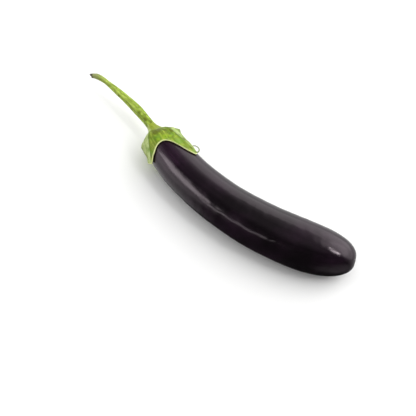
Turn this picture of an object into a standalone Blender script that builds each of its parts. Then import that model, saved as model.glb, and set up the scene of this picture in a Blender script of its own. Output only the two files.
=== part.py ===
"""A long eggplant, as picked, lying on its side: the fruit, the calyx that caps it and the stem.

Run it with blender --background --python part.py, or from the text editor.
Lengths are metres, +Z is up, and the table top is the plane z = 0. The eggplant lies along X with
its stem towards -X, and the middle of its bounding box stands over the origin.

Every surface is laid round one lengthwise line. A place on it is given by a station, which is the
distance along the line from the top of the fruit and is negative along the stem, a distance out
from the line, and an angle round it: 0 is up, 90 is the +Y side and 180 is the underside.
"""

import math

import bmesh
import bpy
from mathutils import Vector

FRUIT_LENGTH = 0.2225
SHOULDER_RADIUS = 0.0191
BELLY_RADIUS = 0.0221
BELLY_STATION = 0.165
BELLY_DELAY = 1.4
TOP_NARROWING = 0.0034
TOP_NARROWING_LENGTH = 0.045
TOP_NARROWING_POWER = 1.5

# Each rounded end has a length and a bluntness: a larger bluntness is squarer.
SHOULDER_CAP = (0.016, 2.3)
BLOSSOM_CAP = (0.056, 2.5)

# Seen from above the line is a chain of arcs: a station and the heading there, in degrees from +X.
LINE = (
    (-0.092, 52.0),
    (-0.084, 12.0),
    (-0.076, -2.0),
    (-0.045, -6.5),
    (-0.012, -17.5),
    (0.0, -23.8),
    (0.070, -6.2),
    (0.2215, 24.7),
)
FRUIT_TOP = Vector((-0.0636, 0.0120))
STEM_RISE = 0.006
STEM_RISE_POWER = 1.5

# The fruit's top and its calyx lean: they reach further along on the +Y side than on the -Y side,
# by this share of the width. The stem stands square.
LEAN = 0.16
LEAN_LENGTH = 0.030

# The fruit's own weight presses a narrow flat along its underside.
PRESSED_IN = 0.00035

# Pieces that touch keep this much room between them.
CLEARANCE = 0.0003

NECK_RADIUS = 0.0050
NECK_STATION = -0.0062
MARGIN_THICKNESS = 0.0008
MARGIN_THINNING = 8
RIB_HALF_WIDTH = 25.0
RIB_SHARPNESS = 1.2

# How thick the calyx is at distances along the fruit's skin from its top: down the rib in the
# middle of each sepal, which makes a corner at the shoulder, and between the ribs.
RIB_THICKNESS = (
    (0.0050, 0.0056),
    (0.0095, 0.0030),
    (0.0135, 0.0034),
    (0.0178, 0.0042),
    (0.0210, 0.0022),
    (0.0250, 0.0014),
    (0.0450, 0.0009),
)
WEB_THICKNESS = (
    (0.0050, 0.0056),
    (0.0085, 0.0024),
    (0.0120, 0.0016),
    (0.0170, 0.0015),
    (0.0240, 0.0011),
    (0.0450, 0.0009),
)

# Each sepal has a rounded notch before it, a tip, a bluntness and a rib. Notches and tips are given
# by an angle and a station, and ribs by an angle and a strength. The sepals have spread apart over
# the side that faces up and towards -Y.
NOTCH_ROUNDNESS = 1.45
SEPALS = (
    ((-22.0, 0.0183), (50.0, 0.0455), 0.8, (50.0, 1.0)),
    ((76.0, 0.0260), (96.0, 0.0380), 0.3, (82.0, 1.3)),
    ((122.0, 0.0210), (150.0, 0.0350), 0.3, (150.0, 0.8)),
    ((180.0, 0.0205), (205.0, 0.0340), 0.3, (205.0, 0.7)),
    ((235.0, 0.0195), (268.0, 0.0253), 0.9, (256.0, 0.8)),
)

# The stem's radius at stations from the cut end to the calyx.
STEM_RADII = (
    (-0.092, 0.0020),
    (-0.086, 0.0026),
    (-0.074, 0.0022),
    (-0.060, 0.0031),
    (-0.047, 0.0036),
    (-0.032, 0.0043),
    (-0.020, 0.0039),
    (-0.013, 0.0041),
    (-0.0065, 0.0049),
)
STEM_STEP = 0.003
STEM_RIBS = 5
STEM_RIB_SHARE = 0.06
STEM_SIDES = 20

FRUIT_SIDES = 40
FRUIT_RINGS = 40
CALYX_SIDES = 72
CALYX_RINGS = 18

# The fruit's skin is measured in steps from its top to past the longest sepal, and its slope over
# a short reach each way.
SKIN_STEPS = 600
SKIN_BEYOND = 1.2
SLOPE_REACH = 0.0004

# Edges that turn by more than this are shaded sharp, in degrees.
SHARP_ANGLE = 50.0

# Each piece has a base colour and a roughness.
FRUIT_SKIN = ((0.012, 0.006, 0.012), 0.28)
CALYX_SKIN = ((0.22, 0.36, 0.06), 0.55)
STEM_SKIN = ((0.26, 0.38, 0.08), 0.6)


def between(pairs, at):
    """The value at a place in rising (place, value) pairs, in a straight line from pair to pair."""
    at = min(max(at, pairs[0][0]), pairs[-1][0])
    for (low, first), (high, last) in zip(pairs, pairs[1:]):
        if at <= high:
            return first + (last - first) * (at - low) / (high - low)


def ease(share):
    """0 to 1 with a level start and end."""
    share = min(max(share, 0.0), 1.0)
    return share * share * (3.0 - 2.0 * share)


def heading_at(station):
    return math.radians(between(LINE, station))


def plan_at(station):
    """The line's point at a station, seen from above. Each arc is crossed by its chord."""
    passed = [s for s, _ in LINE if min(0.0, station) < s < max(0.0, station)]
    stops = [0.0, *sorted(passed, key=abs), station]
    point = FRUIT_TOP.copy()
    for start, end in zip(stops, stops[1:]):
        middle = (heading_at(start) + heading_at(end)) / 2
        half_turn = (heading_at(end) - heading_at(start)) / 2
        shorter = math.sin(half_turn) / half_turn if half_turn else 1.0
        point += Vector((math.cos(middle), math.sin(middle))) * (end - start) * shorter
    return point


def body_radius(station):
    """The fruit's radius with its rounded ends left out."""
    share = min(max(station / BELLY_STATION, 0.0), 1.0)
    swell = math.sin(math.pi / 2 * share**BELLY_DELAY) ** 2
    to_top = min(max(1.0 - station / TOP_NARROWING_LENGTH, 0.0), 1.0)
    shoulder = SHOULDER_RADIUS - TOP_NARROWING * to_top**TOP_NARROWING_POWER
    return shoulder + (BELLY_RADIUS - SHOULDER_RADIUS) * swell


def rounded_end(distance, cap):
    """The share of the full radius at a distance from an end."""
    length, bluntness = cap
    left = min(max(1.0 - distance / length, 0.0), 1.0)
    return (1.0 - left**bluntness) ** (1.0 / bluntness)


def fruit_radius(station):
    ends = rounded_end(station, SHOULDER_CAP) * rounded_end(FRUIT_LENGTH - station, BLOSSOM_CAP)
    return body_radius(station) * ends


def height_at(station):
    """The line's height over the table. The calyx fills the room under the fruit's narrow top."""
    rise = STEM_RISE * (max(-station, 0.0) / -LINE[0][0]) ** STEM_RISE_POWER
    return body_radius(max(station, TOP_NARROWING_LENGTH)) - PRESSED_IN + rise


def place(station, out, angle):
    """The point at a station, a distance out from the line and an angle round it in radians."""
    heading = heading_at(station)
    plan = plan_at(station)
    side = math.sin(angle) * out
    lean = LEAN * side * ease(1.0 - station / LEAN_LENGTH) * ease(1.0 - station / NECK_STATION)
    x = plan.x - math.sin(heading) * side + math.cos(heading) * lean
    y = plan.y + math.cos(heading) * side + math.sin(heading) * lean
    z = height_at(station) + math.cos(angle) * out
    return Vector((x, y, max(z, 0.0)))


def measured_skin():
    """The fruit's skin from its top down one side: (distance along the skin, station, radius)."""
    longest = max(tip for _, (_, tip), _, _ in SEPALS) * SKIN_BEYOND
    rows = [(0.0, 0.0, 0.0)]
    for step in range(1, SKIN_STEPS + 1):
        # Cubed, so that the steps are shortest at the top, where the skin turns fastest.
        station = longest * (step / SKIN_STEPS) ** 3
        radius = fruit_radius(station)
        along, last_station, last_radius = rows[-1]
        rows.append((along + math.hypot(station - last_station, radius - last_radius), station, radius))
    return rows


SKIN = measured_skin()
STATION_ALONG = [(along, station) for along, station, _ in SKIN]
RADIUS_ALONG = [(along, radius) for along, _, radius in SKIN]
ALONG_STATION = [(station, along) for along, station, _ in SKIN]


def off_skin(along, lift):
    """(station, radius) of a point lifted squarely off the fruit's skin."""
    before, after = along - SLOPE_REACH, along + SLOPE_REACH
    station_slope = between(STATION_ALONG, after) - between(STATION_ALONG, before)
    radius_slope = between(RADIUS_ALONG, after) - between(RADIUS_ALONG, before)
    slope = math.hypot(station_slope, radius_slope)
    station = between(STATION_ALONG, along) - lift * radius_slope / slope
    return station, between(RADIUS_ALONG, along) + lift * station_slope / slope


def edge_station(degrees):
    """Where the calyx's edge runs at an angle round the fruit."""
    first_notch = SEPALS[0][0]
    degrees = (degrees - first_notch[0]) % 360.0 + first_notch[0]
    next_notches = [notch for notch, _, _, _ in SEPALS[1:]] + [(first_notch[0] + 360.0, first_notch[1])]
    for (notch, tip, blunt, _), next_notch in zip(SEPALS, next_notches):
        if degrees <= next_notch[0]:
            low = notch if degrees <= tip[0] else next_notch
            share = (degrees - low[0]) / (tip[0] - low[0])
            shape = (1.0 - blunt) * share**NOTCH_ROUNDNESS + blunt * ease(share)
            return low[1] + (tip[1] - low[1]) * shape


def thickness_at(degrees, along):
    """The calyx's thickness at an angle and a distance along the fruit's skin."""
    web = between(WEB_THICKNESS, along)
    proud = between(RIB_THICKNESS, along) - web
    for _, _, _, (rib, strength) in SEPALS:
        apart = abs((degrees - rib + 180.0) % 360.0 - 180.0)
        web += proud * strength * max(1.0 - apart / RIB_HALF_WIDTH, 0.0) ** RIB_SHARPNESS
    return web


def new_object(name, data, skin, collection):
    colour, roughness = skin
    material = bpy.data.materials.new(name + "_skin")
    material.use_nodes = True
    shader = material.node_tree.nodes["Principled BSDF"]
    shader.inputs["Base Color"].default_value = (*colour, 1.0)
    shader.inputs["Roughness"].default_value = roughness
    shader.inputs["Metallic"].default_value = 0.0
    data.materials.append(material)
    made = bpy.data.objects.new(name, data)
    collection.objects.link(made)
    return made


def smooth_mesh(name, bm):
    if bm.calc_volume(signed=True) < 0.0:
        bmesh.ops.reverse_faces(bm, faces=bm.faces)
    mesh = bpy.data.meshes.new(name)
    bm.to_mesh(mesh)
    bm.free()
    mesh.shade_smooth()
    mesh.set_sharp_from_angle(angle=math.radians(SHARP_ANGLE))
    return mesh


def make_fruit(collection):
    """A ball drawn out along the line, with its rings close together towards the two ends."""
    bm = bmesh.new()
    bmesh.ops.create_uvsphere(bm, u_segments=FRUIT_SIDES, v_segments=FRUIT_RINGS, radius=1.0)
    for vert in bm.verts:
        station = FRUIT_LENGTH * (1.0 - vert.co.z) / 2
        angle = math.atan2(vert.co.x, vert.co.y)
        vert.co = place(station, fruit_radius(station), angle)
    return new_object("fruit", smooth_mesh("fruit", bm), FRUIT_SKIN, collection)


def make_calyx(collection):
    """A ball folded into a cap: its upper half is the outside and its lower half lines the fruit."""
    bm = bmesh.new()
    bmesh.ops.create_uvsphere(bm, u_segments=CALYX_SIDES, v_segments=2 * CALYX_RINGS, radius=1.0)
    for vert in bm.verts:
        angle = math.atan2(vert.co.x, vert.co.y)
        degrees = math.degrees(angle)
        ring = round(CALYX_RINGS * math.acos(min(abs(vert.co.z), 1.0)) / (math.pi / 2))
        beyond_neck = max((ring - 1) / (CALYX_RINGS - 1), 0.0)
        to_edge = between(ALONG_STATION, edge_station(degrees))
        along = NECK_RADIUS * min(ring, 1) + (to_edge - NECK_RADIUS) * beyond_neck
        thickness = thickness_at(degrees, along)
        thickness += (MARGIN_THICKNESS - thickness) * beyond_neck**MARGIN_THINNING
        if ring == CALYX_RINGS:
            station, radius = off_skin(along, CLEARANCE + thickness / 2)
        elif vert.co.z < 0.0:
            station, radius = off_skin(along, CLEARANCE)
        elif ring <= 1:
            station, radius = NECK_STATION, along
        else:
            station, radius = off_skin(along, CLEARANCE + thickness)
        vert.co = place(station, radius, angle)
    return new_object("calyx", smooth_mesh("calyx", bm), CALYX_SKIN, collection)


def ribbed_outline():
    """The stem's cross-section at a radius of 1, as a hidden guide for the stem to follow."""
    outline = bpy.data.curves.new("stem_outline", "CURVE")
    outline.dimensions = "2D"
    spline = outline.splines.new("POLY")
    spline.points.add(STEM_SIDES - 1)
    for number, point in enumerate(spline.points):
        angle = -2 * math.pi * number / STEM_SIDES
        out = 1.0 + STEM_RIB_SHARE * math.cos(STEM_RIBS * angle)
        point.co = (out * math.cos(angle), out * math.sin(angle), 0.0, 1.0)
    spline.use_cyclic_u = True
    guide = bpy.data.objects.new("stem_outline", outline)
    guide.hide_render = True
    guide.display_type = "WIRE"
    return guide


def make_stem(collection, guides):
    """A ribbed outline carried along the line, from the calyx's neck to the cut end."""
    guide = ribbed_outline()
    guides.objects.link(guide)
    curve = bpy.data.curves.new("stem", "CURVE")
    curve.dimensions = "3D"
    curve.twist_mode = "Z_UP"
    curve.bevel_mode = "OBJECT"
    curve.bevel_object = guide
    curve.use_fill_caps = True
    start = NECK_STATION - CLEARANCE
    end = LINE[0][0]
    count = round((start - end) / STEM_STEP)
    spline = curve.splines.new("POLY")
    spline.points.add(count)
    spline.use_smooth = True
    for number, point in enumerate(spline.points):
        station = start + (end - start) * number / count
        point.co = (*place(station, 0.0, 0.0), 1.0)
        point.radius = between(STEM_RADII, station)
    return new_object("stem", curve, STEM_SKIN, collection)


def main():
    for old in list(bpy.data.objects):
        bpy.data.objects.remove(old)
    pieces = bpy.data.collections.new("eggplant")
    guides = bpy.data.collections.new("guides")
    for collection in (pieces, guides):
        bpy.context.scene.collection.children.link(collection)
    make_fruit(pieces)
    make_calyx(pieces)
    make_stem(pieces, guides)


main()
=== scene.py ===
"""The looks of a long eggplant lying on its side: skin, calyx, stem, floor and light.

Lengths are metres. Every piece is laid round the same lengthwise line as the solids. A place is
given by a station, which is the distance along the line from the top of the fruit and negative
along the stem, a distance out from the line, and an angle round it: 0 is up, 90 is towards +Y.
"""

import bisect
import functools
import math

import bmesh
import bpy
from mathutils import Matrix, Vector, noise


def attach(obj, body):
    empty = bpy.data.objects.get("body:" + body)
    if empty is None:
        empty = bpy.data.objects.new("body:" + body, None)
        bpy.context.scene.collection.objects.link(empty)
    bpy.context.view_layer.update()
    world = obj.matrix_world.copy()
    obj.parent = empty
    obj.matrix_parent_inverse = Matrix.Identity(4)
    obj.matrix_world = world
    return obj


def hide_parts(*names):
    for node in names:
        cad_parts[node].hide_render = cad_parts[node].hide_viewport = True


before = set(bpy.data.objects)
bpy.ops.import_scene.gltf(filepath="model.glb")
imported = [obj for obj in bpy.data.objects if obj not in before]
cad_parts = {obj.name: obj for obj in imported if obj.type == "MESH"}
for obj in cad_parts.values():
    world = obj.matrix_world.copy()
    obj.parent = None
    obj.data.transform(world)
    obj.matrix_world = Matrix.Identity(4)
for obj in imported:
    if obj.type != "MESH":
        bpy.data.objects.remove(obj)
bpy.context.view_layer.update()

FRUIT_LENGTH = 0.2225
SHOULDER_RADIUS = 0.0191
BELLY_RADIUS = 0.0221
BELLY_STATION = 0.165
BELLY_DELAY = 1.4
TOP_NARROWING = 0.0034
TOP_NARROWING_LENGTH = 0.045
TOP_NARROWING_POWER = 1.5

# Each rounded end has a length and a bluntness: a larger bluntness is squarer.
SHOULDER_CAP = (0.016, 2.3)
BLOSSOM_CAP = (0.056, 2.5)

# Seen from above the line is a chain of arcs: a station and the heading there, in degrees from +X.
LINE = (
    (-0.092, 52.0),
    (-0.084, 12.0),
    (-0.076, -2.0),
    (-0.045, -6.5),
    (-0.012, -17.5),
    (0.0, -23.8),
    (0.070, -6.2),
    (0.2215, 24.7),
)
FRUIT_TOP = Vector((-0.0636, 0.0120))
STEM_RISE = 0.006
STEM_RISE_POWER = 1.5

# Near the fruit's top its cross-sections lean along the line.
LEAN = 0.16
LEAN_LENGTH = 0.030

# How deep its own weight presses the fruit flat.
PRESSED_IN = 0.00035

NECK_STATION = -0.0062
SKIN_GAP = 0.0003
MARGIN_THICKNESS = 0.0009

# The calyx's thickness on a rib and between ribs, as (distance along the skin, thickness).
RIB_HALF_WIDTH = 25.0
RIB_SHARPNESS = 1.2
RIB_THICKNESS = (
    (0.0050, 0.0056),
    (0.0095, 0.0030),
    (0.0135, 0.0034),
    (0.0178, 0.0042),
    (0.0210, 0.0022),
    (0.0250, 0.0014),
    (0.0450, 0.0009),
)
WEB_THICKNESS = (
    (0.0050, 0.0056),
    (0.0085, 0.0024),
    (0.0120, 0.0016),
    (0.0170, 0.0015),
    (0.0240, 0.0011),
    (0.0450, 0.0009),
)

# Each sepal: the notch before it and its tip, as (angle, distance along the skin), how blunt the tip
# is, and how late the edge starts to run out from the notch.
NOTCH_ROUNDNESS = 1.45
SEPALS = (
    ((-18.0, 0.0305), (42.0, 0.0580), 1.0, 1.35),
    ((76.0, 0.0362), (96.0, 0.0481), 0.3, 1.0),
    ((122.0, 0.0312), (150.0, 0.0451), 0.3, 1.0),
    ((180.0, 0.0307), (205.0, 0.0441), 0.3, 1.0),
    ((235.0, 0.0290), (279.0, 0.0364), 1.0, 1.6),
)

# The broad ribs that make the shoulder's corners: (angle, strength).
RIBS = ((48.0, 0.9), (75.0, 1.6), (150.0, 0.8), (205.0, 0.7), (256.0, 0.8))

# The sharp crease down each sepal: its path as (distance along the skin, angle), its height, and how
# far the painted shade along it spreads. The second and sixth paths run along the calyx's right and
# left outlines, where their painted shade darkens the edge.
CREASES = (
    (((0.0095, 31.0), (0.022, 29.0), (0.031, 36.0), (0.039, 42.0), (0.058, 44.0)), 0.0009, 1.0),
    (((0.0095, 66.0), (0.019, 71.0), (0.030, 70.0), (0.048, 62.0)), 0.0003, 1.9),
    (((0.0095, 96.0), (0.030, 92.0), (0.048, 96.0)), 0.0008, 1.0),
    (((0.0095, 146.0), (0.045, 150.0)), 0.0009, 1.0),
    (((0.0095, 212.0), (0.044, 205.0)), 0.0008, 1.0),
    (((0.0095, 260.0), (0.019, 260.0), (0.028, 268.0), (0.037, 270.0)), 0.0005, 1.7),
    (((0.0095, 327.0), (0.021, 319.0), (0.0255, 311.0), (0.030, 300.0), (0.037, 276.0)), 0.0007, 1.0),
)
CREASE_HALF_WIDTH = 0.0034
CREASE_START = 0.0060
CREASE_FADE = 0.008
CREASE_SHARPNESS = 1.2
CREASE_STANDS_OFF = 0.002

# The stem's radius as (station, radius), and the ribs round it, which fade towards the calyx.
STEM_RADII = (
    (-0.092, 0.0020),
    (-0.086, 0.0026),
    (-0.074, 0.0022),
    (-0.060, 0.0031),
    (-0.047, 0.0036),
    (-0.032, 0.0043),
    (-0.020, 0.0039),
    (-0.013, 0.0041),
    (-0.0065, 0.0049),
)
STEM_RIBS = 5
STEM_RIB_SHARE = 0.085
STEM_RIB_FADE = 0.012
STEM_RIB_START = 0.25

# How far the ribs are turned round the stem at one station, and how much more with each metre.
STEM_TURN = math.radians(140.0)
STEM_TURN_STATION = -0.045
STEM_TWIST = 12.0

# The stem's fine unevenness: its share of the radius, and its busyness along the stem and round it.
STEM_ROUGHNESS = 0.035
STEM_ROUGH_ALONG = 160.0
STEM_ROUGH_ROUND = 1.3

# How many points each piece has round it, and how many rings. The calyx has that many on each face.
FRUIT_SIDES = 200
FRUIT_RINGS = 340
CALYX_SIDES = 320
CALYX_RINGS = 84
STEM_SIDES = 72
STEM_RINGS = 230
CURL_SIDES = 14
CURL_RINGS = 90


def between(pairs, at):
    """The value at a place in rising (place, value) pairs, in a straight line from pair to pair."""
    at = min(max(at, pairs[0][0]), pairs[-1][0])
    after = max(bisect.bisect_left(pairs, (at,)), 1)
    (low, first), (high, last) = pairs[after - 1], pairs[after]
    return first + (last - first) * (at - low) / (high - low)


def ease(share):
    """0 to 1 with a level start and end."""
    share = min(max(share, 0.0), 1.0)
    return share * share * (3.0 - 2.0 * share)


def heading_at(station):
    return math.radians(between(LINE, station))


def plan_at(station):
    """The line's point at a station, seen from above. Each arc is crossed by its chord."""
    passed = [s for s, _ in LINE if min(0.0, station) < s < max(0.0, station)]
    stops = [0.0, *sorted(passed, key=abs), station]
    point = FRUIT_TOP.copy()
    for start, end in zip(stops, stops[1:]):
        middle = (heading_at(start) + heading_at(end)) / 2
        half_turn = (heading_at(end) - heading_at(start)) / 2
        shorter = math.sin(half_turn) / half_turn if half_turn else 1.0
        point += Vector((math.cos(middle), math.sin(middle))) * (end - start) * shorter
    return point


def body_radius(station):
    """The fruit's radius with its rounded ends left out."""
    share = min(max(station / BELLY_STATION, 0.0), 1.0)
    swell = math.sin(math.pi / 2 * share**BELLY_DELAY) ** 2
    to_top = min(max(1.0 - station / TOP_NARROWING_LENGTH, 0.0), 1.0)
    shoulder = SHOULDER_RADIUS - TOP_NARROWING * to_top**TOP_NARROWING_POWER
    return shoulder + (BELLY_RADIUS - SHOULDER_RADIUS) * swell


def rounded_end(distance, cap):
    """The share of the full radius at a distance from an end."""
    length, bluntness = cap
    left = min(max(1.0 - distance / length, 0.0), 1.0)
    return (1.0 - left**bluntness) ** (1.0 / bluntness)


def fruit_radius(station):
    ends = rounded_end(station, SHOULDER_CAP) * rounded_end(FRUIT_LENGTH - station, BLOSSOM_CAP)
    return body_radius(station) * ends


def height_at(station):
    """The line's height over the table."""
    rise = STEM_RISE * (max(-station, 0.0) / -LINE[0][0]) ** STEM_RISE_POWER
    return body_radius(max(station, TOP_NARROWING_LENGTH)) - PRESSED_IN + rise


@functools.lru_cache(maxsize=None)
def cross_section(station):
    """Where the line runs at a station: its plan point, its heading's cosine and sine, its height."""
    heading = heading_at(station)
    plan = plan_at(station)
    return plan.x, plan.y, math.cos(heading), math.sin(heading), height_at(station)


def place(station, out, angle):
    """The point at a station, a distance out from the line and an angle round it in radians."""
    x, y, ahead_x, ahead_y, height = cross_section(station)
    side = math.sin(angle) * out
    lean = LEAN * side * ease(1.0 - station / LEAN_LENGTH) * ease(1.0 - station / NECK_STATION)
    up = max(height + math.cos(angle) * out, 0.0)
    return Vector((x - ahead_y * side + ahead_x * lean, y + ahead_x * side + ahead_y * lean, up))


# The skin is measured in steps that crowd towards its top, to a little beyond the longest sepal.
SKIN_STEPS = 600
SKIN_STATION = 0.048
SKIN_BEYOND = 1.2
SLOPE_REACH = 0.0004


def measured_skin():
    """The fruit's skin from its top down one side: (distance along the skin, station, radius)."""
    longest = SKIN_STATION * SKIN_BEYOND
    rows = [(0.0, 0.0, 0.0)]
    for step in range(1, SKIN_STEPS + 1):
        station = longest * (step / SKIN_STEPS) ** 3
        radius = fruit_radius(station)
        along, last_station, last_radius = rows[-1]
        rows.append((along + math.hypot(station - last_station, radius - last_radius), station, radius))
    return rows


SKIN = measured_skin()
STATION_ALONG = [(along, station) for along, station, _ in SKIN]
RADIUS_ALONG = [(along, radius) for along, _, radius in SKIN]


def off_skin(along, lift):
    """(station, radius) of a point lifted squarely off the fruit's skin."""
    before, after = along - SLOPE_REACH, along + SLOPE_REACH
    station_slope = between(STATION_ALONG, after) - between(STATION_ALONG, before)
    radius_slope = between(RADIUS_ALONG, after) - between(RADIUS_ALONG, before)
    slope = math.hypot(station_slope, radius_slope)
    station = between(STATION_ALONG, along) - lift * radius_slope / slope
    return station, between(RADIUS_ALONG, along) + lift * station_slope / slope


def wave(*place_at):
    """Smooth noise from about -1 to 1 at up to three coordinates."""
    return noise.noise(Vector((*place_at, 0.0, 0.0)[:3]))


def wave_round(angle, busyness, row):
    """Smooth noise that meets itself round the line. Each row is another noise."""
    return wave(math.sin(angle) * busyness, math.cos(angle) * busyness, row)


def bell(distance, width):
    """1 in the middle, falling smoothly to nothing over about two widths."""
    return math.exp(-((distance / width) ** 2))


def edge_along(degrees):
    """How far along the fruit's skin the calyx's edge runs at an angle."""
    first_notch = SEPALS[0][0]
    degrees = (degrees - first_notch[0]) % 360.0 + first_notch[0]
    next_notches = [notch for notch, _, _, _ in SEPALS[1:]] + [(first_notch[0] + 360.0, first_notch[1])]
    for (notch, tip, blunt, late), next_notch in zip(SEPALS, next_notches):
        if degrees <= next_notch[0]:
            rising = degrees <= tip[0]
            low = notch if rising else next_notch
            share = (degrees - low[0]) / (tip[0] - low[0])
            rounded = ease(share**late) if rising else ease(share)
            shape = (1.0 - blunt) * share**NOTCH_ROUNDNESS + blunt * rounded
            return low[1] + (tip[1] - low[1]) * shape


def apart(degrees, other):
    """How far one angle lies past another, from -180 to 180."""
    return (degrees - other + 180.0) % 360.0 - 180.0


def thickness_at(degrees, along):
    """The calyx's thickness at an angle and a distance along the fruit's skin."""
    web = between(WEB_THICKNESS, along)
    proud = between(RIB_THICKNESS, along) - web
    for rib, strength in RIBS:
        close = max(1.0 - abs(apart(degrees, rib)) / RIB_HALF_WIDTH, 0.0)
        web += proud * strength * close**RIB_SHARPNESS
    return web


def crease_at(degrees, along, to_edge):
    """How high the creases stand, and how strong the painted shade of the nearest one is, from 0 to 1."""
    height, closest = 0.0, 0.0
    each_degree = math.radians(1.0) * (between(RADIUS_ALONG, along) + CREASE_STANDS_OFF)
    ends = ease((along - CREASE_START) / CREASE_FADE) * ease(to_edge / CREASE_FADE)
    for path, peak, shade in CREASES:
        away = abs(apart(degrees, between(path, along))) * each_degree
        close = max(1.0 - away / CREASE_HALF_WIDTH, 0.0)
        height += peak * ends * close**CREASE_SHARPNESS
        closest = max(closest, min(shade * ends * close, 1.0))
    return height, closest


def in_scene(name, bm):
    """A finished bmesh as an object of the scene."""
    mesh = bpy.data.meshes.new(name)
    bm.to_mesh(mesh)
    bm.free()
    made = bpy.data.objects.new(name, mesh)
    bpy.context.scene.collection.objects.link(made)
    return made


def shaped_ball(name, sides, rings, marks, spot):
    """A ball with each point moved: spot(ring, angle) gives its place, its grain and its marks.

    The mesh keeps the marks by name. The grain is each point's place as if its piece were straight,
    for patterns that run along the piece.
    """
    bm = bmesh.new()
    bmesh.ops.create_uvsphere(bm, u_segments=sides, v_segments=rings, radius=1.0)
    bm.verts.layers.float_vector.new("grain")
    for mark in marks:
        bm.verts.layers.float.new(mark)
    grain = bm.verts.layers.float_vector["grain"]
    layers = [bm.verts.layers.float[mark] for mark in marks]
    for vert in bm.verts:
        ring = round(rings * math.acos(min(max(vert.co.z, -1.0), 1.0)) / math.pi)
        vert.co, vert[grain], *amounts = spot(ring, math.atan2(vert.co.x, vert.co.y))
        for layer, amount in zip(layers, amounts):
            vert[layer] = amount
    if bm.calc_volume(signed=True) < 0.0:
        bmesh.ops.reverse_faces(bm, faces=bm.faces)
    made = in_scene(name, bm)
    made.data.shade_smooth()
    return made


def straight(along, out, angle):
    """A point's grain: its place on a straight piece."""
    return along, out * math.sin(angle), out * math.cos(angle)


def dress(piece, material, slot, *nodes):
    """Gives a piece its material, hangs it under the root body, and hides the solids that it stands in
    for.
    """
    piece.data.materials.append(material)
    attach(piece, "root")
    for node in nodes:
        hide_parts(node)


# The skin wanders off round in long low swells and flutes that start below the calyx, and in small
# ripples that bend the highlights. Each has a height, a length along the fruit, and a busyness round it.
SWELL = 0.00028
SWELL_LENGTH = 0.034
SWELL_ROUND = 0.8
SWELL_STARTS = 0.030
SWELL_FULL = 0.075
FLUTE = 0.00010
FLUTE_LENGTH = 4 * SWELL_LENGTH
FLUTE_ROUND = 2.6
FLUTE_ROW = 7.0
RIPPLE = 0.00013
RIPPLE_LENGTH = 0.0056
RIPPLE_ROUND = 3.0
RIPPLE_ROW = 5.0
RIPPLE_LEAST = 0.25
RIPPLE_STARTS = 0.070
RIPPLE_GROWTH = 0.035

# All of it closes up at the tip, where the rings shrink to a point.
RELIEF_END = 0.006
POLE_RADIUS = 0.004

# The scar where the flower was, at the tip: a shallow dip with a small corky button in it. Each has
# a depth or height, and a width.
SCAR_DIP = (0.00055, 0.0034)
SCAR_BUTTON = (0.00050, 0.0012)
SCAR_MARK_SHARE = 0.7


def skin_relief(station, angle):
    """How far the fruit's skin stands off its plain round shape."""
    across, up = math.sin(angle), math.cos(angle)
    grown = ease((station - SWELL_STARTS) / (SWELL_FULL - SWELL_STARTS))
    swell = SWELL * wave(station / SWELL_LENGTH, across * SWELL_ROUND, up * SWELL_ROUND)
    flute = FLUTE * wave(station / FLUTE_LENGTH, across * FLUTE_ROUND, up * FLUTE_ROUND + FLUTE_ROW)
    ripple = RIPPLE * wave(station / RIPPLE_LENGTH + RIPPLE_ROW, across * RIPPLE_ROUND, up * RIPPLE_ROUND)
    rippled = RIPPLE_LEAST + (1.0 - RIPPLE_LEAST) * ease((station - RIPPLE_STARTS) / RIPPLE_GROWTH)
    closed = ease((FRUIT_LENGTH - station) / RELIEF_END)
    return ((swell + flute) * grown + ripple * rippled) * closed


def make_fruit(material):
    def spot(ring, angle):
        station = FRUIT_LENGTH * (1.0 - math.cos(math.pi * ring / FRUIT_RINGS)) / 2
        radius = fruit_radius(station)
        out = radius + skin_relief(station, angle) * min(radius / POLE_RADIUS, 1.0)
        scar = 0.0
        if station > FRUIT_LENGTH / 2:
            (dip, dip_width), (button, button_width) = SCAR_DIP, SCAR_BUTTON
            scar = bell(out, dip_width * SCAR_MARK_SHARE)
            station -= dip * bell(out, dip_width) - button * bell(out, button_width)
        return place(station, out, angle), straight(station, out, angle), scar

    fruit = shaped_ball("fruit_body", FRUIT_SIDES, FRUIT_RINGS, ("scar",), spot)
    dress(fruit, material, "fruit_skin", "fruit")


# The calyx starts as a sleeve on the stem and flares to the foot of its shoulder in one curve.
SLEEVE_TOP = -0.0135
SLEEVE_RINGS = 16
SLEEVE_INSET = 0.00012
SLEEVE_FLARE = 0.0011
SLEEVE_SHORTEST = 0.002
SHOULDER_FOOT = 0.0100
FOOT_REACH = 0.0003
LEAST_RISE = 1e-6

# The rings crowd towards the edge.
RINGS_TO_EDGE = 1.6

# Its edge is a rounded lip that lifts off the skin: (angle, lift) round it, and how uneven that is.
LIP_RADIUS = 0.0007
LIP_THICKNESS = 0.00125
LIP_WIDTH = 0.0028
LIP_LIFT_WIDTH = 0.0055
LIP_LIFTS = (
    (-180.0, 0.0008),
    (-100.0, 0.0007),
    (-75.0, 0.0009),
    (-45.0, 0.0004),
    (-12.0, 0.0008),
    (8.0, 0.0007),
    (24.0, 0.0002),
    (45.0, 0.0002),
    (70.0, 0.0006),
    (180.0, 0.0008),
)
LIP_LIFT_VARIES = 0.4
LIP_LIFT_NOISE = (2.5, 3.0)
EDGE_WANDER = 0.00035
EDGE_NOISE = (4.0, 1.0)

# The edge has a pale rim, partly the margin's own cream colour and partly a painted highlight on the
# lip: its width, and how pale it is at an angle, palest on the right arm, which is less lit.
RIM_WIDTH = 0.0015
RIM_PALENESS_AND_HIGHLIGHT = (
    (-180.0, 0.8),
    (-60.0, 0.8),
    (-25.0, 0.85),
    (0.0, 0.75),
    (14.0, 0.95),
    (22.0, 1.0),
    (60.0, 1.0),
    (180.0, 0.8),
)
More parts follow.
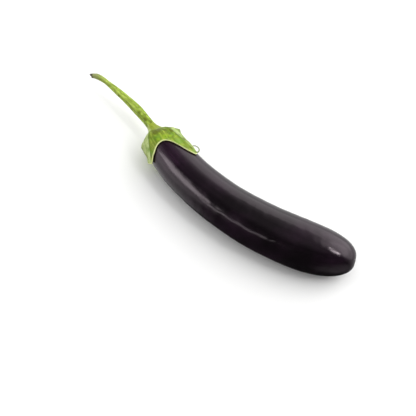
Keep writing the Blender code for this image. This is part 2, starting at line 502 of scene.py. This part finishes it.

# Dark olive stains and fresh lime patches: (angle, distance along the skin, size), and for the stem's
# (angle, station, size). Each list has the radius at which its angles become distances. On the
# calyx, the spots at 35, 47 and 58 degrees are painted shade along its upper outline.
CALYX_STAINS_AND_SHADE = (
    (-12.0, 0.0172, 0.0046),
    (4.0, 0.0150, 0.0034),
    (14.0, 0.0190, 0.0022),
    (29.0, 0.0224, 0.0021),
    (-38.0, 0.0110, 0.0026),
    (-22.0, 0.0128, 0.0022),
    # These three spots lie along the calyx's upper outline: painted shade on that edge.
    (35.0, 0.0132, 0.0022),
    (47.0, 0.0152, 0.0020),
    (58.0, 0.0170, 0.0020),
    (52.0, 0.0350, 0.0026),
    (44.0, 0.0495, 0.0015),
    (118.0, 0.0160, 0.0030),
    (-130.0, 0.0150, 0.0028),
    (175.0, 0.0140, 0.0026),
)
CALYX_STAIN_RADIUS = 0.016
CALYX_LIMES = (
    (2.0, 0.0268, 0.0036),
    (-20.0, 0.0265, 0.0026),
    (14.0, 0.0285, 0.0024),
    (110.0, 0.0250, 0.0040),
)
CALYX_LIME_RADIUS = 0.018
STEM_STAINS = (
    (-24.0, -0.0277, 0.0020),
    (-26.0, -0.0182, 0.0026),
    (-66.0, -0.0560, 0.0017),
    (12.0, -0.0132, 0.0020),
    (-8.0, -0.0080, 0.0026),
    (150.0, -0.0210, 0.0030),
    (-110.0, -0.0370, 0.0026),
)
STEM_STAIN_RADIUS = 0.0042
CALYX_GRAIN_RADIUS = 0.018

# Beyond the creases of the two front sepals the facets are painted paler: painted light where they
# face the lamps. It takes some degrees to get there. On the right it has a strength, a start and
# growth along the skin, and a start, length and loss where it thins out again.
PALE_LEFT_SPREAD = 5.0
PALE_RIGHT_SPREAD = 11.0
PALE_RIGHT = 0.85
PALE_GROWS = (0.013, 0.006)
PALE_THINS = (0.025, 0.010, 0.6)

# The short sepal's tip kicks outwards.
KICK_ANGLE = -99.0
KICK_SPREAD = 8.0
KICK = 0.0012


def stem_rib_turn(station, angle):
    """Where a place on the stem lies in the waves of its ribs, which turn slowly round it."""
    return STEM_RIBS * angle + STEM_TURN + STEM_TWIST * (station - STEM_TURN_STATION)


def stem_out(station, angle):
    """The stem's outline: ribs that fade towards the calyx, and fine unevenness."""
    ribs = STEM_RIB_SHARE * ease((SLEEVE_TOP - station) / STEM_RIB_FADE + STEM_RIB_START)
    across, up = math.sin(angle) * STEM_ROUGH_ROUND, math.cos(angle) * STEM_ROUGH_ROUND
    rough = STEM_ROUGHNESS * wave(station * STEM_ROUGH_ALONG, across, up)
    return between(STEM_RADII, station) * (1.0 + ribs * math.cos(stem_rib_turn(station, angle)) + rough)


def lip_nose(to_edge):
    """How much of its thickness the calyx keeps towards its rounded edge, from 0 to 1."""
    return math.sqrt(max(1.0 - (1.0 - min(to_edge / LIP_RADIUS, 1.0)) ** 2, 0.0))


def calyx_lift(degrees, to_edge):
    """How far the calyx's inner face stands off the fruit."""
    lip_lift = between(LIP_LIFTS, apart(degrees, 0.0))
    uneven = 1.0 + LIP_LIFT_VARIES * wave_round(math.radians(degrees), *LIP_LIFT_NOISE)
    kick = KICK * bell(apart(degrees, KICK_ANGLE), KICK_SPREAD)
    return SKIN_GAP + (lip_lift * uneven + kick) * ease(1.0 - to_edge / LIP_LIFT_WIDTH)


def calyx_inside(degrees, along, edge):
    """(station, out) on the calyx's inner face."""
    to_edge = edge - along
    return off_skin(along, calyx_lift(degrees, to_edge) + LIP_THICKNESS / 2 * (1.0 - lip_nose(to_edge)))


def calyx_outside(degrees, along, edge):
    """(station, out) on the calyx's outer face, with the strength of the nearest crease's painted shade.
    """
    to_edge = edge - along
    high, crease_shade = crease_at(degrees, along, to_edge)
    full = max(thickness_at(degrees, along), MARGIN_THICKNESS) + high
    full += (LIP_THICKNESS - full) * ease(1.0 - to_edge / LIP_WIDTH)
    lift = calyx_lift(degrees, to_edge)
    return *off_skin(along, lift + full * (0.5 + 0.5 * lip_nose(to_edge))), crease_shade


def make_calyx(material):
    def spot(ring, angle):
        degrees = math.degrees(angle)
        edge = edge_along(degrees) + EDGE_WANDER * wave_round(angle, *EDGE_NOISE)
        row = min(ring, 2 * CALYX_RINGS - ring)
        crease_shade = 0.0
        if ring > CALYX_RINGS:
            along = edge * (1.0 - (1.0 - row / CALYX_RINGS) ** RINGS_TO_EDGE)
            station, out = calyx_inside(degrees, along, edge)
        elif row > SLEEVE_RINGS:
            share = (row - SLEEVE_RINGS) / (CALYX_RINGS - SLEEVE_RINGS)
            along = SHOULDER_FOOT + (edge - SHOULDER_FOOT) * (1.0 - (1.0 - share) ** RINGS_TO_EDGE)
            station, out, crease_shade = calyx_outside(degrees, along, edge)
        else:
            along = SHOULDER_FOOT
            station, out = sleeve_spot(angle, degrees, row / SLEEVE_RINGS, edge)
        # The rim's paleness: partly the margin's own cream and partly a painted highlight on the lip.
        rim = ease(1.0 - (edge - along) / RIM_WIDTH) * between(RIM_PALENESS_AND_HIGHLIGHT, degrees)
        if row <= SLEEVE_RINGS:
            along = station + SHOULDER_FOOT
        # Stains, and spots of painted shade along the upper outline.
        stain_and_shade = nearest_spot(CALYX_STAINS_AND_SHADE, degrees, along, CALYX_STAIN_RADIUS)
        lime = nearest_spot(CALYX_LIMES, degrees, along, CALYX_LIME_RADIUS)
        amounts = rim, crease_shade, painted_light_at(degrees, along), stain_and_shade, lime, station
        return place(station, out, angle), straight(along, CALYX_GRAIN_RADIUS, angle), *amounts

    marks = ("rim", "crease_shade", "painted_light", "stain_and_shade", "lime", "station")
    calyx = shaped_ball("calyx_cap", CALYX_SIDES, 2 * CALYX_RINGS, marks, spot)
    dress(calyx, material, "calyx_skin", "calyx")


def sleeve_spot(angle, degrees, share, edge):
    """A point on the curve from the stem's side out to the shoulder's foot."""
    if share == 0.0:
        return SLEEVE_TOP, 0.0
    foot = calyx_outside(degrees, SHOULDER_FOOT, edge)
    below = calyx_outside(degrees, SHOULDER_FOOT + FOOT_REACH, edge)
    slope = (below[0] - foot[0]) / max(below[1] - foot[1], LEAST_RISE)
    start = (SLEEVE_TOP, stem_out(SLEEVE_TOP, angle) - SLEEVE_INSET)
    flared = start[1] + SLEEVE_FLARE
    middle = (max(foot[0] - (foot[1] - flared) * slope, SLEEVE_TOP + SLEEVE_SHORTEST), flared)
    share = (share * SLEEVE_RINGS - 1.0) / (SLEEVE_RINGS - 1.0)
    weights = ((1.0 - share) ** 2, 2.0 * share * (1.0 - share), share**2)
    ends = (start, middle, foot[:2])
    return tuple(sum(weight * end[axis] for weight, end in zip(weights, ends)) for axis in (0, 1))


def nearest_spot(spots, degrees, along, radius):
    """How close a place is to the middle of the nearest spot, from 0 to 1."""
    closest = 0.0
    for spot_degrees, spot_along, size in spots:
        away = math.hypot(along - spot_along, math.radians(apart(degrees, spot_degrees)) * radius)
        closest = max(closest, bell(away, size))
    return closest


def painted_light_at(degrees, along):
    """Where the facets beyond the front sepals' creases are painted paler as painted light, from 0 to 1.
    """
    right, left = between(CREASES[0][0], along), between(CREASES[-1][0], along) - 360.0
    beyond_left = ease(-apart(degrees, left) / PALE_LEFT_SPREAD)
    (starts, growth), (thins, thinning, loss) = PALE_GROWS, PALE_THINS
    kept = ease((along - starts) / growth) * (1.0 - loss * ease((along - thins) / thinning))
    beyond_right = PALE_RIGHT * ease(apart(degrees, right) / PALE_RIGHT_SPREAD) * kept
    return max(beyond_left, beyond_right)


# The stem's cut end: a dried face, slightly hollow and aslant, inside a torn rim.
CUT_RINGS = 10
CUT_HOLLOW = 0.0007
CUT_SLANT = 0.0008
CUT_FACES = math.radians(62.0)
CUT_TORN = 0.0006
CUT_TORN_LENGTH = 0.004
CUT_NOISE = (3.0, 9.0)
CUT_ROUNDNESS = 0.8
CUT_GRAIN = 0.00015
CUT_GRAIN_OUT = 2500.0
CUT_GRAIN_ROUND = 3.0
CUT_MARK_SHARE = 1.2


def make_stem(material):
    end = LINE[0][0]

    def spot(ring, angle):
        to_middle = STEM_RINGS - ring
        share = min(ring / (STEM_RINGS - CUT_RINGS), 1.0)
        station = NECK_STATION + (end - NECK_STATION) * share
        out = stem_out(station, angle)
        torn = CUT_TORN * wave_round(angle, *CUT_NOISE) - CUT_SLANT * math.cos(angle - CUT_FACES)
        if to_middle < CUT_RINGS:
            across = to_middle / CUT_RINGS
            out *= math.sin(across * math.pi / 2) ** CUT_ROUNDNESS
            station += torn * across + CUT_HOLLOW * (1.0 - across**2)
            station += CUT_GRAIN * wave(out * CUT_GRAIN_OUT, angle * CUT_GRAIN_ROUND, 1.0)
        else:
            station += torn * ease(1.0 - (station - end) / CUT_TORN_LENGTH)
        if ring == 0:
            out = 0.0
        cut = ease(1.0 - to_middle / (CUT_RINGS * CUT_MARK_SHARE))
        # How deep a place lies in the groove between two ribs, for the painted shade there.
        groove_shade = 0.5 - 0.5 * math.cos(stem_rib_turn(station, angle))
        stain_and_shade = nearest_spot(STEM_STAINS, math.degrees(angle), station, STEM_STAIN_RADIUS)
        return place(station, out, angle), straight(station, out, angle), cut, groove_shade, stain_and_shade, station

    marks = ("cut", "groove_shade", "stain_and_shade", "station")
    stem = shaped_ball("stem_stalk", STEM_SIDES, STEM_RINGS, marks, spot)
    dress(stem, material, "stem_skin", "stem")


# The dry curl at the long sepal's tip: (station, distance out, angle) along it, and its radius there.
CURL_PATH = (
    (0.0425, 0.0201, 42.0, 0.0008),
    (0.0449, 0.0207, 45.0, 0.0009),
    (0.0456, 0.0213, 51.0, 0.00075),
    (0.0441, 0.0229, 57.0, 0.00060),
    (0.0410, 0.0236, 60.0, 0.00056),
    (0.0375, 0.0229, 61.0, 0.00053),
    (0.0354, 0.0214, 61.0, 0.00048),
    (0.0350, 0.0203, 60.0, 0.00032),
)
CURL_LOOK_AHEAD = 0.01
CURL_UP = Vector((0.3, -0.5, 0.8))
CURL_TWIST = 9.0
CURL_FLATTENED = (0.75, 1.15)
CURL_ROUGHNESS = 0.18
CURL_ROUGH_ALONG = 22.0
CURL_GRAIN_LENGTH = 0.02
CURL_GRAIN_RADIUS = 0.001


def make_curl(material):
    def along_path(share):
        """The curl's centre and radius: a smooth curve through the path's points."""
        spans = len(CURL_PATH) - 1
        step = min(int(share * spans), spans - 1)
        part = share * spans - step
        near = [CURL_PATH[min(max(step + shift, 0), spans)] for shift in (-1, 0, 1, 2)]
        mixed = []
        for before, first, last, after in zip(*near):
            turn = after - 3 * last + 3 * first - before
            bend = turn * part + 2 * before - 5 * first + 4 * last - after
            mixed.append(first + ((bend * part) + last - before) * part / 2)
        return place(mixed[0], mixed[1], math.radians(mixed[2])), mixed[3]

    def spot(ring, angle):
        share = ring / CURL_RINGS
        centre, radius = along_path(share)
        after, _ = along_path(min(share + CURL_LOOK_AHEAD, 1.0))
        before, _ = along_path(max(share - CURL_LOOK_AHEAD, 0.0))
        ahead = (after - before).normalized()
        side = ahead.cross(CURL_UP).normalized()
        twist = angle + CURL_TWIST * share
        thin, thick = CURL_FLATTENED
        out = side * math.cos(twist) * thin + ahead.cross(side) * math.sin(twist) * thick
        radius *= 1.0 + CURL_ROUGHNESS * wave(share * CURL_ROUGH_ALONG, angle)
        if ring in (0, CURL_RINGS):
            radius = 0.0
        grain = straight(share * CURL_GRAIN_LENGTH, CURL_GRAIN_RADIUS, angle)
        return centre + out * radius, grain, share

    curl = shaped_ball("lobe_curl", CURL_SIDES, CURL_RINGS, ("dried",), spot)
    dress(curl, material, "calyx_skin")


def add(tree, kind, inputs=(), **settings):
    """A node with its settings made. inputs are (socket, value or socket it is joined to) pairs."""
    node = tree.nodes.new("ShaderNode" + kind)
    for name, value in settings.items():
        setattr(node, name, value)
    for socket, value in inputs:
        if isinstance(value, bpy.types.NodeSocket):
            tree.links.new(value, node.inputs[socket])
        else:
            node.inputs[socket].default_value = value
    return node


def blend(tree, factor, first, second):
    """The colour between two colours."""
    return add(tree, "Mix", ((0, factor), (6, first), (7, second)), data_type="RGBA").outputs[2]


def spread(tree, value, low, high, first=0.0, last=1.0):
    """A value's range from low to high, as a smooth mask from first to last."""
    inputs = (("Value", value), ("From Min", low), ("From Max", high), ("To Min", first), ("To Max", last))
    return add(tree, "MapRange", inputs, interpolation_type="SMOOTHSTEP").outputs["Result"]


def math_of(tree, how, *values):
    return add(tree, "Math", tuple(enumerate(values)), operation=how).outputs[0]


def stretched(tree, vector, scales):
    return add(tree, "VectorMath", ((0, vector), (1, scales)), operation="MULTIPLY").outputs[0]


def cloud(tree, vector, scale, detail=3.0, roughness=0.55):
    inputs = (("Vector", vector), ("Scale", scale), ("Detail", detail), ("Roughness", roughness))
    return add(tree, "TexNoise", inputs).outputs["Fac"]


def mark_of(tree, name, output="Fac"):
    """A mark that the piece's mesh keeps by name."""
    return add(tree, "Attribute", attribute_name=name).outputs[output]


def place_of(tree):
    """The surface's place in space, for patterns that don't run along the piece."""
    return add(tree, "TexCoord").outputs["Object"]


def new_group(name, inputs, outputs):
    """An empty node group with named sockets. Gives the group, its input node and its output node."""
    group = bpy.data.node_groups.new(name, "ShaderNodeTree")
    for label, kind in inputs:
        group.interface.new_socket(label, in_out="INPUT", socket_type="NodeSocket" + kind)
    for label, kind in outputs:
        group.interface.new_socket(label, in_out="OUTPUT", socket_type="NodeSocket" + kind)
    return group, group.nodes.new("NodeGroupInput"), group.nodes.new("NodeGroupOutput")


def join(tree, node, pairs):
    for label, source in pairs:
        tree.links.new(source, node.inputs[label])


# Two ends of each green's mottling, and what the patches yellow to.
GREENS = (
    ("Deep", (0.095, 0.155, 0.003, 1.0)),
    ("Bright", (0.250, 0.360, 0.022, 1.0)),
    ("Yellowed", (0.33, 0.385, 0.042, 1.0)),
)
STEM_GREENS = (
    ("Deep", (0.170, 0.250, 0.012, 1.0)),
    ("Bright", (0.44, 0.59, 0.085, 1.0)),
    ("Yellowed", (0.48, 0.58, 0.11, 1.0)),
)
CURL_GREENS = (
    ("Deep", (0.10, 0.14, 0.02, 1.0)),
    ("Bright", (0.22, 0.30, 0.06, 1.0)),
    ("Yellowed", (0.28, 0.33, 0.10, 1.0)),
)
OLIVE = (0.098, 0.120, 0.0008, 1.0)
NECK_GREEN = (0.33, 0.39, 0.032, 1.0)
FRESH_GREEN = (0.15, 0.31, 0.025, 1.0)
# Painted light: the paler green laid on the facets beyond the front creases.
PAINTED_LIT_GREEN = (0.46, 0.55, 0.21, 1.0)
# Painted shade: the darker green laid along the creases and along the calyx's outline.
CREASE_SHADE = (0.12, 0.17, 0.02, 1.0)
LIME_GREEN = (0.25, 0.40, 0.008, 1.0)
# Partly the rim's own cream colour, partly a painted highlight on the lip.
RIM_CREAM_AND_HIGHLIGHT = (0.88, 0.92, 0.44, 1.0)
OLD_STEM = (0.39, 0.45, 0.12, 1.0)
DULL_STEM = (0.23, 0.24, 0.11, 1.0)
# Painted shade: the darker green laid in the grooves between the stem's ribs.
GROOVE_SHADE = (0.13, 0.17, 0.012, 1.0)
DRY_LEAF = (0.20, 0.19, 0.09, 1.0)
BARK = ((0.018, 0.013, 0.009, 1.0), (0.085, 0.062, 0.036, 1.0))
PITH = ((0.05, 0.035, 0.02, 1.0), (0.16, 0.12, 0.07, 1.0))
GREEN_GLOSS = 0.24
CALYX_RELIEF_DEPTH = 0.00035
STEM_RELIEF_DEPTH = 0.0004
CURL_RELIEF_DEPTH = 0.0002


def make_green_flesh():
    """The effect that all green pieces share: mottled flesh with streaks along it and small pores."""
    inputs = (("Grain", "Vector"), ("Deep", "Color"), ("Bright", "Color"), ("Yellowed", "Color"))
    outputs = (("Color", "Color"), ("Roughness", "Float"), ("Height", "Float"))
    tree, given, result = new_group("green_flesh", inputs, outputs)
    grain = given.outputs["Grain"]
    deep, yellowed = given.outputs["Deep"], given.outputs["Yellowed"]
    mottle = cloud(tree, stretched(tree, grain, (200.0, 330.0, 330.0)), 1.0, 4.0)
    mottle = spread(tree, mottle, 0.38, 0.60)
    patches = cloud(tree, stretched(tree, grain, (60.0, 150.0, 150.0)), 1.0, 2.0)
    patches = spread(tree, patches, 0.42, 0.62)
    streak = cloud(tree, stretched(tree, grain, (50.0, 720.0, 720.0)), 1.0, 3.0)
    streaks = spread(tree, streak, 0.40, 0.60)
    pores = spread(tree, cloud(tree, place_of(tree), 1500.0, 2.0), 0.58, 0.70)
    flesh = blend(tree, mottle, deep, given.outputs["Bright"])
    flesh = blend(tree, math_of(tree, "MULTIPLY", patches, 0.6), flesh, yellowed)
    flesh = blend(tree, streaks, flesh, blend(tree, 0.72, flesh, deep))
    flesh = blend(tree, math_of(tree, "MULTIPLY", pores, 0.35), flesh, yellowed)
    height = math_of(tree, "MULTIPLY_ADD", mottle, 0.30, streak)
    height = math_of(tree, "MULTIPLY_ADD", pores, -0.25, height)
    rough = spread(tree, math_of(tree, "ADD", mottle, streaks), 0.2, 1.8, 0.42, 0.58)
    join(tree, result, (("Color", flesh), ("Roughness", rough), ("Height", height)))
    return tree


def flesh_of(tree, green, colours):
    """The shared flesh in one material, in its own colours."""
    inputs = (("Grain", mark_of(tree, "grain", "Vector")), *colours)
    return add(tree, "Group", inputs, node_tree=green).outputs


def olive_stains_and_shade(tree, colour, faint_from, full_from, depth):
    """Dark olive stains with ragged edges, where the piece is marked for them. On the calyx some of them
    are painted shade along its upper outline.
    """
    uneven = cloud(tree, place_of(tree), 420.0, 4.0)
    ragged = math_of(tree, "MULTIPLY_ADD", uneven, 1.1, mark_of(tree, "stain_and_shade"))
    return blend(tree, spread(tree, ragged, faint_from, full_from, 0.0, depth), colour, OLIVE)


def new_material(name):
    """An empty material. Gives it, its node tree and its shader."""
    material = bpy.data.materials.new(name)
    material.use_nodes = True
    return material, material.node_tree, material.node_tree.nodes["Principled BSDF"]


def bumped(tree, height, distance):
    """The shader's normal, from fine relief."""
    return add(tree, "Bump", (("Distance", distance), ("Height", height))).outputs["Normal"]


BLACK_SKIN = (0.0045, 0.0030, 0.0042, 1.0)
PLUM_SKIN = (0.028, 0.0110, 0.026, 1.0)
STREAK_BLACK = (0.0016, 0.0012, 0.0016, 1.0)
WAX_TINT = (1.0, 0.87, 0.935, 1.0)
CORK = ((0.09, 0.055, 0.03, 1.0), (0.23, 0.16, 0.09, 1.0))
SKIN_RELIEF_DEPTH = 0.00010


def fruit_skin_material():
    """Black-purple waxy skin: plum where it is thin, faint streaks along it, a corky scar at the tip."""
    material, tree, shader = new_material("aubergine_skin")
    grain, place_at = mark_of(tree, "grain", "Vector"), place_of(tree)
    station = add(tree, "SeparateXYZ", ((0, grain),)).outputs["X"]
    near_top = spread(tree, station, 0.015, 0.105, 1.0, 0.0)
    patches = spread(tree, cloud(tree, place_at, 32.0, 3.0), 0.38, 0.66)
    streak = cloud(tree, stretched(tree, grain, (14.0, 420.0, 420.0)), 1.0, 4.0)
    streaks = spread(tree, streak, 0.36, 0.68)
    thin = math_of(tree, "MULTIPLY_ADD", near_top, 0.45, math_of(tree, "MULTIPLY", patches, 0.45))
    skin = blend(tree, math_of(tree, "MULTIPLY", thin, 0.8), BLACK_SKIN, PLUM_SKIN)
    skin = blend(tree, math_of(tree, "MULTIPLY", streaks, 0.4), skin, STREAK_BLACK)
    flecks = spread(tree, cloud(tree, place_at, 900.0, 3.0), 0.35, 0.65)
    ragged = math_of(tree, "MULTIPLY_ADD", flecks, 0.25, mark_of(tree, "scar"))
    corky = spread(tree, ragged, 0.62, 0.86)
    skin = blend(tree, corky, skin, blend(tree, flecks, *CORK))
    haze = spread(tree, cloud(tree, place_at, 60.0, 4.0, 0.6), 0.35, 0.68, 0.13, 0.20)
    rough = math_of(tree, "MULTIPLY_ADD", streaks, 0.03, haze)
    rough = math_of(tree, "MULTIPLY_ADD", corky, 0.35, rough)
    pores = cloud(tree, place_at, 1400.0, 2.0)
    fine = math_of(tree, "MULTIPLY_ADD", streak, 0.8, math_of(tree, "MULTIPLY", pores, 0.10))
    fine = math_of(tree, "MULTIPLY_ADD", math_of(tree, "MULTIPLY", flecks, corky), 1.5, fine)
    normal = bumped(tree, fine, SKIN_RELIEF_DEPTH)
    join(tree, shader, (("Base Color", skin), ("Roughness", rough), ("Normal", normal)))
    shader.inputs["Specular Tint"].default_value = WAX_TINT
    return material


def calyx_material(green):
    """Fleshy green: olive at the neck, painted paler beyond the creases as painted light, with painted
    shade along the creases and outline, and a thick pale rim that is partly a painted highlight.
    """
    material, tree, shader = new_material("calyx_flesh")
    place_at, station = place_of(tree), mark_of(tree, "station")
    flesh = flesh_of(tree, green, GREENS)
    fresh = spread(tree, cloud(tree, place_at, 120.0, 3.0), 0.46, 0.62, 0.0, 0.6)
    below_neck = spread(tree, station, -0.001, 0.008)
    colour = blend(tree, math_of(tree, "MULTIPLY", fresh, below_neck), flesh["Color"], FRESH_GREEN)
    neck = spread(tree, station, -0.010, 0.009, 0.65, 0.0)
    colour = blend(tree, neck, colour, NECK_GREEN)
    blotch = cloud(tree, place_at, 160.0, 3.0)
    blotched = spread(tree, blotch, 0.34, 0.58, 0.25, 1.0)
    # Painted light: the facets beyond the front creases are painted paler, in blotches.
    colour = blend(tree, math_of(tree, "MULTIPLY", mark_of(tree, "painted_light"), blotched), colour, PAINTED_LIT_GREEN)
    # Painted shade: darker green along the creases and along the calyx's right and left outlines.
    crease_shade = spread(tree, mark_of(tree, "crease_shade"), 0.50, 1.0, 0.0, 0.60)
    colour = blend(tree, crease_shade, colour, CREASE_SHADE)
    lime = math_of(tree, "MULTIPLY_ADD", blotch, 0.6, mark_of(tree, "lime"))
    colour = blend(tree, spread(tree, lime, 0.65, 1.30, 0.0, 0.65), colour, LIME_GREEN)
    # Olive stains, and painted shade along the calyx's upper outline.
    colour = olive_stains_and_shade(tree, colour, 0.75, 1.30, 0.95)
    specks = spread(tree, cloud(tree, place_at, 330.0, 2.0), 0.60, 0.70, 0.0, 0.65)
    colour = blend(tree, specks, colour, OLIVE)
    # The pale rim: partly the margin's own cream colour and partly a painted highlight on the lip.
    rim = mark_of(tree, "rim")
    colour = blend(tree, math_of(tree, "MULTIPLY", rim, 0.95), colour, RIM_CREAM_AND_HIGHLIGHT)
    rough = math_of(tree, "MULTIPLY_ADD", rim, 0.08, flesh["Roughness"])
    normal = bumped(tree, flesh["Height"], CALYX_RELIEF_DEPTH)
    join(tree, shader, (("Base Color", colour), ("Roughness", rough), ("Normal", normal)))
    shader.inputs["Specular IOR Level"].default_value = GREEN_GLOSS
    return material


def stem_material(green):
    """Ribbed green stalk with painted shade in the grooves between its ribs, greyer towards its end, where
    the cut has dried brown.
    """
    material, tree, shader = new_material("stem_flesh")
    grain, station = mark_of(tree, "grain", "Vector"), mark_of(tree, "station")
    flesh = flesh_of(tree, green, STEM_GREENS)
    colour = olive_stains_and_shade(tree, flesh["Color"], 0.65, 1.50, 0.80)
    older = spread(tree, station, -0.084, -0.060, 0.5, 0.0)
    colour = blend(tree, older, colour, OLD_STEM)
    blotch = cloud(tree, place_of(tree), 330.0, 3.0)
    broken = spread(tree, blotch, 0.35, 0.62, 0.25, 0.85)
    # Painted shade: darker green in the grooves between the ribs, broken into blotches.
    groove_shade = math_of(tree, "POWER", mark_of(tree, "groove_shade"), 3.0)
    colour = blend(tree, math_of(tree, "MULTIPLY", groove_shade, broken), colour, GROOVE_SHADE)
    dull = math_of(tree, "MULTIPLY_ADD", blotch, 0.006, station)
    colour = blend(tree, spread(tree, dull, -0.087, -0.076, 0.8, 0.0), colour, DULL_STEM)
    dried = math_of(tree, "MULTIPLY_ADD", blotch, 0.004, station)
    dried = spread(tree, dried, -0.0895, -0.0870, 1.0, 0.0)
    fibres = cloud(tree, stretched(tree, grain, (300.0, 2600.0, 2600.0)), 1.0, 3.0)
    bark = blend(tree, spread(tree, fibres, 0.36, 0.64), *BARK)
    colour = blend(tree, dried, colour, bark)
    pith = blend(tree, spread(tree, fibres, 0.4, 0.6), *PITH)
    colour = blend(tree, mark_of(tree, "cut"), colour, pith)
    rough = math_of(tree, "MULTIPLY_ADD", dried, 0.25, flesh["Roughness"])
    fibrous = math_of(tree, "MULTIPLY", fibres, dried)
    height = math_of(tree, "MULTIPLY_ADD", fibrous, 1.2, flesh["Height"])
    normal = bumped(tree, height, STEM_RELIEF_DEPTH)
    join(tree, shader, (("Base Color", colour), ("Roughness", rough), ("Normal", normal)))
    shader.inputs["Specular IOR Level"].default_value = GREEN_GLOSS
    return material


def curl_material(green):
    """The dry end of a sepal: pale olive, browner towards its thin end."""
    material, tree, shader = new_material("dry_curl")
    flesh = flesh_of(tree, green, CURL_GREENS)
    dried = spread(tree, mark_of(tree, "dried"), 0.15, 1.0, 0.0, 0.75)
    colour = blend(tree, dried, flesh["Color"], DRY_LEAF)
    normal = bumped(tree, flesh["Height"], CURL_RELIEF_DEPTH)
    join(tree, shader, (("Base Color", colour), ("Roughness", flesh["Roughness"]), ("Normal", normal)))
    return material


FLOOR_SIZE = 12.0
FLOOR_ROUGHNESS = 0.9
FLOOR_SHADES = ((0.83, 0.83, 0.825, 1.0), (0.86, 0.86, 0.855, 1.0))


def floor_material():
    """Plain pale paint, with the faintest unevenness."""
    material, tree, shader = new_material("floor_paint")
    shade = blend(tree, cloud(tree, place_of(tree), 3.0), *FLOOR_SHADES)
    join(tree, shader, (("Base Color", shade),))
    shader.inputs["Roughness"].default_value = FLOOR_ROUGHNESS
    return material


def make_floor():
    bm = bmesh.new()
    bmesh.ops.create_grid(bm, x_segments=1, y_segments=1, size=FLOOR_SIZE / 2)
    floor = in_scene("floor", bm)
    floor.data.materials.append(floor_material())
    floor.visible_glossy = False


def direction(azimuth, elevation):
    """A level turn from +X and a rise, in degrees, as a direction."""
    azimuth, elevation = math.radians(azimuth), math.radians(elevation)
    level = math.cos(elevation)
    return Vector((level * math.cos(azimuth), level * math.sin(azimuth), math.sin(elevation)))


# Each panel of light runs level or aslant from one end to the other: (turn, rise, distance) of each
# end as seen from the eggplant, the panel's height and its brightness.
PANELS = {
    "wide_panel": ((17.6, 17.2, 3.07), (126.4, 17.2, 3.07), 2.0, 0.82),
    "side_strip": ((-149.0, 31.4, 0.963), (-120.0, 24.0, 1.5), 0.36, 4.1),
    "strip_end": ((-118.0, 15.0, 1.7), (-91.0, 27.0, 2.4), 0.20, 2.9),
    "tip_panel": ((6.0, 48.0, 1.33), (16.0, 55.5, 1.33), 0.17, 16.0),
    "tip_glint": ((20.0, 59.0, 1.33), (29.0, 65.0, 1.33), 0.13, 9.0),
}
LIT_FROM = Vector((0.0, 0.0, 0.02))

# The fill hangs overhead, and shows in no reflection.
FILL_HEIGHT = 1.6
FILL_SIZE = 2.2
FILL_BRIGHTNESS = 1.3
FACING_DOWN = (Vector((1, 0, 0)), Vector((0, 1, 0)), Vector((0, 0, 1)))


def make_light(name, place_at, axes, width, height, brightness):
    """A rectangle of light. axes are its own X, Y and Z, and it shines along -Z."""
    data = bpy.data.lights.new(name, "AREA")
    data.shape = "RECTANGLE"
    data.size, data.size_y = width, height
    data.energy = brightness * math.pi * width * height
    light = bpy.data.objects.new(name, data)
    light.matrix_world = Matrix.Translation(place_at) @ Matrix(axes).transposed().to_4x4()
    bpy.context.scene.collection.objects.link(light)
    return light


def make_lights():
    for name, (start, end, height, brightness) in PANELS.items():
        start, end = [direction(turn, rise) * distance for turn, rise, distance in (start, end)]
        along = (end - start).normalized()
        middle = (start + end) / 2
        back = middle - LIT_FROM
        back = (back - along * back.dot(along)).normalized()
        axes = (along, back.cross(along), back)
        make_light(name, middle, axes, (end - start).length, height, brightness)
    over = Vector((0, 0, FILL_HEIGHT))
    fill = make_light("overhead_fill", over, FACING_DOWN, FILL_SIZE, FILL_SIZE, FILL_BRIGHTNESS)
    fill.visible_glossy = False


# The room's own glow: a direction, the closeness to it where the glow starts and is full, and its
# strength, over a dim base.
ROOM_BASE = 0.03
ROOM_GLOWS = (
    (direction(80.0, 0.0), 0.05, 0.80, 1.0),
    (direction(-175.0, -10.0), 0.48, 0.75, 1.0),
    (direction(-132.0, 6.0), 0.913, 0.990, 0.80),
    (direction(0.0, 90.0), 0.75, 1.0, 0.22),
    (direction(-27.0, -25.0), 0.80, 0.96, 0.35),
    (direction(45.0, 50.0), 0.86, 0.95, 1.5),
    (direction(78.0, 22.0), 0.88, 0.98, 1.0),
)
ROOM_SEEN = 0.95


def make_room():
    world = bpy.data.worlds.new("studio")
    bpy.context.scene.world = world
    world.use_nodes = True
    tree = world.node_tree
    tree.nodes.clear()
    looked = add(tree, "TexCoord").outputs["Generated"]
    glow = ROOM_BASE
    for towards, start, full, strength in ROOM_GLOWS:
        closeness = add(tree, "VectorMath", ((0, looked), (1, towards)), operation="DOT_PRODUCT")
        patch = spread(tree, closeness.outputs["Value"], start, full, 0.0, strength)
        glow = math_of(tree, "ADD", patch, glow)
    seen = add(tree, "LightPath").outputs["Is Camera Ray"]
    strength = add(tree, "Mix", ((0, seen), (2, glow), (3, ROOM_SEEN))).outputs[0]
    background = add(tree, "Background", (("Strength", strength),)).outputs["Background"]
    add(tree, "OutputWorld", (("Surface", background),))


# The camera's turn, rise and distance, as seen from the point that it aims at.
CAMERA_AZIMUTH = 39.0
CAMERA_ELEVATION = 60.0
CAMERA_DISTANCE = 0.860
CAMERA_AIM = Vector((0.02187, -0.01935, 0.020))
CAMERA_LENS = 85.0


def make_camera():
    turn = math.radians(CAMERA_AZIMUTH)
    data = bpy.data.cameras.new("camera")
    data.lens = CAMERA_LENS
    camera = bpy.data.objects.new("camera", data)
    camera.location = CAMERA_AIM + direction(CAMERA_AZIMUTH - 90.0, CAMERA_ELEVATION) * CAMERA_DISTANCE
    camera.rotation_euler = (math.radians(90.0 - CAMERA_ELEVATION), 0.0, turn)
    bpy.context.scene.collection.objects.link(camera)
    bpy.context.scene.camera = camera


def main():
    green = make_green_flesh()
    make_fruit(fruit_skin_material())
    make_calyx(calyx_material(green))
    make_curl(curl_material(green))
    make_stem(stem_material(green))
    make_floor()
    make_lights()
    make_room()
    make_camera()
    bpy.context.scene.view_settings.view_transform = "Standard"


main()
